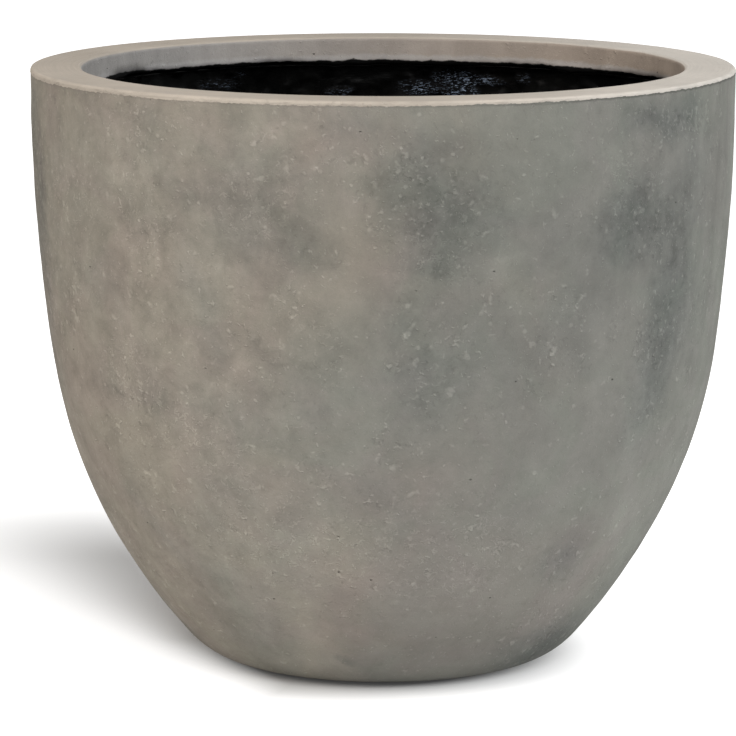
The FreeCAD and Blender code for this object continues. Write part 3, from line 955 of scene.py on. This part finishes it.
def black_edge(shader):
    """The inside's black where it was brushed over the lip's lower edge, and the grey rubbed out above it."""
    smear = shader.spots(SMEARS, SMEAR_WANDER, RIM_RADIUS - MOUTH_RADIUS)
    ragged = shader.ragged(shader.ragged(shader.z, BRUSH_NOISE, BRUSH_RAGGED), BRISTLE_NOISE, BRISTLE_RAGGED)
    ragged = shader.sum(ragged, (smear, SMEAR_LIFT))
    inside = shader.past_mouth(*PAINT_ACROSS)
    paint = shader.product(shader.over_lip(ragged, *PAINT_TOP), inside,
                           shader.over_lip(shader.z, *PAINT_BOTTOM))
    soot = shader.product(shader.over_lip(ragged, *SOOT_HEIGHT), inside, shader.ramp(smear, *SOOT_SPAN))
    return paint, soot


# Tones of the lip's inside face on the left and the right, partly painted light, and along its lower edge
BAND_TONES_AND_PAINTED_LIGHT = (tone(152, 149, 146), tone(156, 144, 133))
BAND_EDGE = tone(172, 169, 168)
BAND_PAINTED_LIGHT_SIDE = (-0.25, 0.25)
BAND_NOISE, BAND_RAGGED, BAND_EDGE_HEIGHT = (60, 4, 0.6), 0.008, (0.010, 0.006, 0, 0.6)
SMUDGE_NOISE, SMUDGE_STRETCH, SMUDGE_WEIGHT = (28, 5, 0.65, 0.4), (1, 1, 0.6), 0.7


def band_tones(shader):
    """The lip's inside face: greyer on the left and browner on the right, partly painted light, paler along
    its lower edge.
    """
    colour = shader.mix(shader.ramp(shader.x, *BAND_PAINTED_LIGHT_SIDE), *BAND_TONES_AND_PAINTED_LIGHT)
    ragged = shader.ragged(shader.z, BAND_NOISE, BAND_RAGGED)
    colour = shader.mix(shader.over_lip(ragged, *BAND_EDGE_HEIGHT), colour, BAND_EDGE)
    smudge = shader.noise(*SMUDGE_NOISE, place=shader.stretch(*SMUDGE_STRETCH))
    return shader.scaled(colour, shader.sum(1.0, (smudge, SMUDGE_WEIGHT, MIDDLE)))


# Where the lip's inside face lies: outwards from the mouth, and up
BAND_ACROSS, BAND_HEIGHT = (0.010, 0.008), (0.47, 0.48)
# How much of the wall's texture that face lacks
BAND_SMOOTH = 0.8
FLECK_TONE, FLECK_TONE_SHARE = tone(180, 177, 170), 0.25
BLACK_PAINT = tone(8, 8, 8)
SAND_NOISE = (900, 2, 0.6)
# How much each detail lightens the face
FLECK_WEIGHT = 0.70
HOLLOW_PAINTED_SHADE_WEIGHT = -0.18
PIT_PAINTED_SHADE_WEIGHT = -0.6
SAND_WEIGHT = 0.20
DIRT_AND_SHADE_WEIGHT = -0.40
SOOT_WEIGHT = -0.7
# How far each detail stands out, as shares of the fine relief, and the two reliefs
FLECK_RISE = 1.2
HOLLOW_RISE = -0.4
PIT_RISE = -1.5
SAND_RISE = 0.25
FINE_RELIEF = 0.0008
UNEVEN_NOISE, UNEVEN_RELIEF = (90, 5, 0.6), 0.0006
CAST_GLOSS_NOISE, CAST_ROUGHNESS = (30, 5, 0.6), (0.3, 0.7, 0.75, 0.95)
CAST_SPECULAR = 0.12


def concrete_material():
    """Cast fibre concrete: warm and cool mottling, blue-grey clouds, flecks, pits and a rubbed pale rim."""
    shader = Shader("fibre_concrete")
    dark, pale, rose = [shader.ramp(shader.spots(rows, CLOUD_WANDER, 0.0), 0.0, 1.0)
                        for rows in (DARK_CLOUDS_AND_PAINTED_SHADE, PALE_CLOUDS_AND_PAINTED_LIGHT, ROSE_CLOUDS)]
    band = shader.product(shader.past_mouth(*BAND_ACROSS), shader.ramp(shader.z, *BAND_HEIGHT))
    plain = shader.rest(shader.product(band, BAND_SMOOTH))
    grains, hollow = flecks(shader, dark)
    fleck = shader.math("ADD", grains, lime_lumps(shader, dark))
    pit = pits(shader, band)
    sand = shader.noise(*SAND_NOISE)
    wrinkle = shader.product(crust(shader), plain)
    seen_fleck = shader.product(fleck, plain)
    # The hollows and the air holes are darkened with painted shade
    texture = shader.sum(1.0, (seen_fleck, FLECK_WEIGHT), (shader.product(hollow, plain), HOLLOW_PAINTED_SHADE_WEIGHT),
                         (pit, PIT_PAINTED_SHADE_WEIGHT), (sand, SAND_WEIGHT, MIDDLE), (wrinkle, 1.0))
    colour = shader.mix(band, cast_tones(shader, dark, pale, rose), band_tones(shader))
    colour = shader.scaled(colour, texture)
    colour = shader.mix(shader.product(seen_fleck, FLECK_TONE_SHARE), colour, FLECK_TONE)
    rim, dirt_and_shade = rim_edge(shader)
    colour = shader.mix(rim, colour, rim_tones(shader))
    colour = shader.scaled(colour, shader.sum(1.0, (dirt_and_shade, DIRT_AND_SHADE_WEIGHT)))
    paint, soot = black_edge(shader)
    colour = shader.scaled(colour, shader.sum(1.0, (soot, SOOT_WEIGHT)))
    colour = shader.mix(paint, colour, BLACK_PAINT)
    height = shader.sum(0.0, (fleck, FLECK_RISE), (hollow, HOLLOW_RISE), (pit, PIT_RISE), (sand, SAND_RISE),
                        (wrinkle, 1.0))
    relief = shader.bump(shader.noise(*UNEVEN_NOISE), UNEVEN_RELIEF)
    shader.set(Base_Color=colour, Specular_IOR_Level=CAST_SPECULAR,
               Roughness=shader.rising(CAST_GLOSS_NOISE, CAST_ROUGHNESS),
               Normal=shader.bump(height, FINE_RELIEF, relief))
    return shader.material


# Patches of loose fibre in the coat, with painted glints in their colour: degrees right of the front, as for
# the clouds
GLINTS = (
    (166, 0.472, 0.026, 0.010, 1.5),
    (160, 0.470, 0.022, 0.006, 1.0),
    (165, 0.459, 0.020, 0.008, 1.5),
    (173, 0.461, 0.030, 0.010, 0.8),
    (153, 0.474, 0.010, 0.008, 0.5),
    (-148, 0.469, 0.034, 0.010, 0.4),
    (-153, 0.477, 0.010, 0.006, 0.4),
    (-172, 0.458, 0.020, 0.006, 0.6),
    (95, 0.470, 0.034, 0.010, 0.6),
    (104, 0.462, 0.028, 0.008, 0.5),
    (82, 0.464, 0.024, 0.008, 0.5),
    (-95, 0.468, 0.034, 0.010, 0.6),
    (-110, 0.460, 0.024, 0.008, 0.5),
    (20, 0.467, 0.036, 0.010, 0.7),
    (7, 0.460, 0.026, 0.008, 0.5),
    (35, 0.462, 0.024, 0.008, 0.5),
    (-40, 0.467, 0.030, 0.010, 0.6),
    (-56, 0.460, 0.024, 0.008, 0.5),
)


# The coat: its deep blacks, the greys of its painted sheen and below which heights they show, and the fibres
# with painted glints
COAT_DEEP = (tone(4, 4, 4), tone(7, 7, 6))
COAT_SHEEN_TONES = (tone(14, 14, 14), tone(34, 34, 33))
COAT_SHEEN_HEIGHT = (0.43, 0.34)
COAT_NOISE, COAT_SPAN, COAT_ROUGHNESS = (24, 5, 0.6), (0.4, 0.7), (0.3, 0.7, 0.2, 0.4)
BRUSHED_NOISE, BRUSHED_STRETCH, BRUSHED_SPAN = (30, 5, 0.65, 0.5), (0.3, 0.3, 1.6, 4), (0.35, 0.65)
COAT_SPECULAR = 0.045
PAINTED_GLINT_TONE = tone(140, 154, 174)
FIBRE_NOISE, FIBRE_STRETCH, PAINTED_GLINT_SPAN = (900, 3, 0.65, 0.8), (0.25, 0.25, 1), (0.54, 0.66)
GLINT_WANDER, GLINT_SPAN = 0.012, (0.05, 0.8)
FIBRE_HEIGHT, FIBRE_RELIEF = (0.0, 0.6, 0.15, 1.0), 0.0010


def coat_material():
    """Black waterproof coat: thick and glossy, brushed over fibres, with painted glints in places and painted
    sheen lower down.
    """
    shader = Shader("black_coat")
    patch = shader.noise(*COAT_NOISE)
    loose = shader.math("MINIMUM", shader.spots(GLINTS, GLINT_WANDER, COAT_INSIDE), 1.0)
    strands = shader.noise(*FIBRE_NOISE, place=shader.stretch(*FIBRE_STRETCH))
    # Painted glints: the strands' pale blue-grey colour where the fibre patches lie
    fibre = shader.product(shader.ramp(strands, *PAINTED_GLINT_SPAN), shader.ramp(loose, *GLINT_SPAN))
    strokes = shader.noise(*BRUSHED_NOISE, place=shader.stretch(*BRUSHED_STRETCH))
    black = shader.mix(shader.ramp(patch, *COAT_SPAN), *COAT_DEEP)
    # Painted sheen: lighter greys lower in the coat, streaked by the brush strokes
    painted_sheen = shader.mix(shader.ramp(strokes, *BRUSHED_SPAN), *COAT_SHEEN_TONES)
    black = shader.mix(shader.ramp(shader.z, *COAT_SHEEN_HEIGHT), black, painted_sheen)
    height = shader.product(strands, shader.ramp(loose, *FIBRE_HEIGHT))
    shader.set(Base_Color=shader.mix(fibre, black, PAINTED_GLINT_TONE), Specular_IOR_Level=COAT_SPECULAR,
               Roughness=shader.ramp(patch, *COAT_ROUGHNESS), Normal=shader.bump(height, FIBRE_RELIEF))
    return shader.material


RUBBER = (tone(34, 33, 33), tone(58, 57, 55))
BLOOM_NOISE, BLOOM_SPAN, RUBBER_ROUGHNESS = (120, 5, 0.65), (0.4, 0.75), (0.3, 0.7, 0.55, 0.8)
RUBBER_NOISE, RUBBER_RELIEF = (900, 3), 0.0001


def rubber_material():
    """Matt black moulded rubber with a dusty bloom."""
    shader = Shader("plug_rubber")
    bloom = shader.noise(*BLOOM_NOISE)
    shader.set(Base_Color=shader.mix(shader.ramp(bloom, *BLOOM_SPAN), *RUBBER),
               Roughness=shader.ramp(bloom, *RUBBER_ROUGHNESS),
               Normal=shader.bump(shader.noise(*RUBBER_NOISE), RUBBER_RELIEF))
    return shader.material


RESIN = (tone(150, 140, 108), tone(206, 200, 178))
STRAND_NOISE, RESIN_SPAN, RESIN_ROUGHNESS = (160, 4, 0.7, 2), (0.45, 0.75), (0.4, 0.7, 0.35, 0.6)
STRANDS_UP, STRANDS_ACROSS = (1.0, 1.0, 0.15), (0.2, 0.2, 1.0)
RESIN_RELIEF = 0.0005


def laminate_material():
    """Glass-fibre laminate: straw-coloured resin with pale crossing strands."""
    shader = Shader("glass_laminate")
    up, across = [shader.noise(*STRAND_NOISE, place=shader.stretch(*way))
                  for way in (STRANDS_UP, STRANDS_ACROSS)]
    weave = shader.math("MAXIMUM", up, across)
    shader.set(Base_Color=shader.mix(shader.ramp(weave, *RESIN_SPAN), *RESIN),
               Roughness=shader.ramp(weave, *RESIN_ROUGHNESS), Normal=shader.bump(weave, RESIN_RELIEF))
    return shader.material


def paint_node(name, material):
    """Gives a solid that stays in the scene its own material."""
    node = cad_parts[name]
    node.data.materials.clear()
    node.data.materials.append(material)


def make_camera():
    """The photograph's viewpoint, lens and framing."""
    ahead = Vector((math.sin(CAMERA_YAW) * math.cos(CAMERA_PITCH),
                    math.cos(CAMERA_YAW) * math.cos(CAMERA_PITCH), math.sin(CAMERA_PITCH)))
    right = ahead.cross(Vector((0, 0, 1))).normalized()
    above = right.cross(ahead)
    turned_right = math.cos(CAMERA_ROLL) * right + math.sin(CAMERA_ROLL) * above
    turned_above = math.cos(CAMERA_ROLL) * above - math.sin(CAMERA_ROLL) * right
    lens = bpy.data.cameras.new("photo_camera")
    lens.sensor_fit = "HORIZONTAL"
    lens.sensor_width = SENSOR_WIDTH
    lens.lens = FOCAL_PIXELS / PHOTO_PIXELS * SENSOR_WIDTH
    camera = bpy.data.objects.new("photo_camera", lens)
    turn = Matrix((turned_right, turned_above, -ahead)).transposed()
    camera.matrix_world = Matrix.Translation(CAMERA_PLACE) @ turn.to_4x4()
    bpy.context.scene.collection.objects.link(camera)
    bpy.context.scene.camera = camera


def make_lamp(name, right, above, distance, width, level, colour):
    """A square soft box, by degrees right of the camera and up; a facing colour shows at its level."""
    lamp = bpy.data.lights.new(name, "AREA")
    lamp.shape = "SQUARE"
    lamp.size = width
    lamp.energy = level * (math.pi * distance) ** 2
    lamp.color = colour
    item = bpy.data.objects.new(name, lamp)
    right, above = math.radians(right), math.radians(above)
    way = Vector((math.sin(right) * math.cos(above), -math.cos(right) * math.cos(above), math.sin(above)))
    item.location = way * distance + Vector((0, 0, HEIGHT / 2))
    item.rotation_mode = "QUATERNION"
    item.rotation_quaternion = way.to_track_quat("Z", "Y")
    item.visible_camera = False
    bpy.context.scene.collection.objects.link(item)


def make_world():
    """White surroundings to look at; as a light weak, and stronger from the right."""
    world = bpy.data.worlds.new("white_room")
    bpy.context.scene.world = world
    nodes = Nodes(world)
    way = nodes.add("TexCoord").outputs["Generated"]
    right = nodes.add("SeparateXYZ", {0: way}).outputs[0]
    levels = {"From Min": -1, "From Max": 1, "To Min": AMBIENT_LEFT, "To Max": AMBIENT_RIGHT}
    sides = nodes.add("MapRange", {"Value": right, **levels}).outputs[0]
    strength = nodes.add("MapRange", {"Value": nodes.seen(), "To Min": sides, "To Max": SEEN_LEVEL})
    background = nodes.tree.nodes["Background"].inputs
    nodes.feed(background["Color"], (1, 1, 1, 1))
    nodes.feed(background["Strength"], strength.outputs[0])


def floor_glow(shader):
    """How far the floor is overlit: little in the shade behind the pot and round its foot, else to white."""
    glow = FLOOR_GLOW
    opening = shader.math("MAXIMUM", shader.math("SUBTRACT", shader.y, FAN_START), 0.0)
    for right, back, start, full, level in SHADE_SIDES:
        along = shader.sum(0.0, (shader.x, right), (shader.y, back))
        low, high = [shader.math("MULTIPLY_ADD", opening, slope, place)
                     for slope, place in ((START_SLOPE, start), (FULL_SLOPE, full))]
        glow = shader.math("MAXIMUM", glow, shader.ramp(along, low, high, 0.0, level))
    for start, full, level in SHADE_ENDS:
        shade = shader.ramp(shader.y, start, full, 1.0, 1.0 - level)
        glow = shader.rest(shader.product(shader.rest(glow), shade))
    shift, start, full, level = FOOT_SHADE
    reach = shader.length(shader.moved(shader.place, (shift, 0, 0)))
    right, back = LIT_SIDE
    along = shader.sum(0.0, (shader.x, right), (shader.y, back))
    ring = shader.product(shader.ramp(reach, start, full, 0.0, level), shader.ramp(along, *LIT_SPAN))
    return shader.math("MAXIMUM", glow, ring)


def make_floor():
    """A pale floor that takes the shadow, and runs out to plain white away from the pot."""
    bpy.ops.mesh.primitive_plane_add(size=FLOOR_SIZE)
    floor = bpy.context.object
    floor.name = "floor"
    shader = Shader("floor_white")
    tree = shader.tree
    seen = shader.seen()
    bounce, bright = [(level, level, level, 1) for level in (FLOOR_BOUNCE, FLOOR_SEEN)]
    shader.set(Base_Color=shader.mix(seen, bounce, bright), Roughness=FLOOR_ROUGHNESS, Specular_IOR_Level=0.0)
    light = shader.add("Emission", {"Strength": shader.product(floor_glow(shader), seen)})
    both = shader.add("AddShader", {0: shader.surface.outputs[0], 1: light.outputs[0]})
    tree.links.new(both.outputs[0], tree.nodes["Material Output"].inputs["Surface"])
    floor.data.materials.append(shader.material)


make_shell()
make_coat()
paint_node("drain_plug", rubber_material())
paint_node("fibre_liner", laminate_material())
make_camera()
make_world()
for lamp in LAMPS:
    make_lamp(*lamp)
make_floor()
bpy.context.scene.view_settings.view_transform = "Standard"
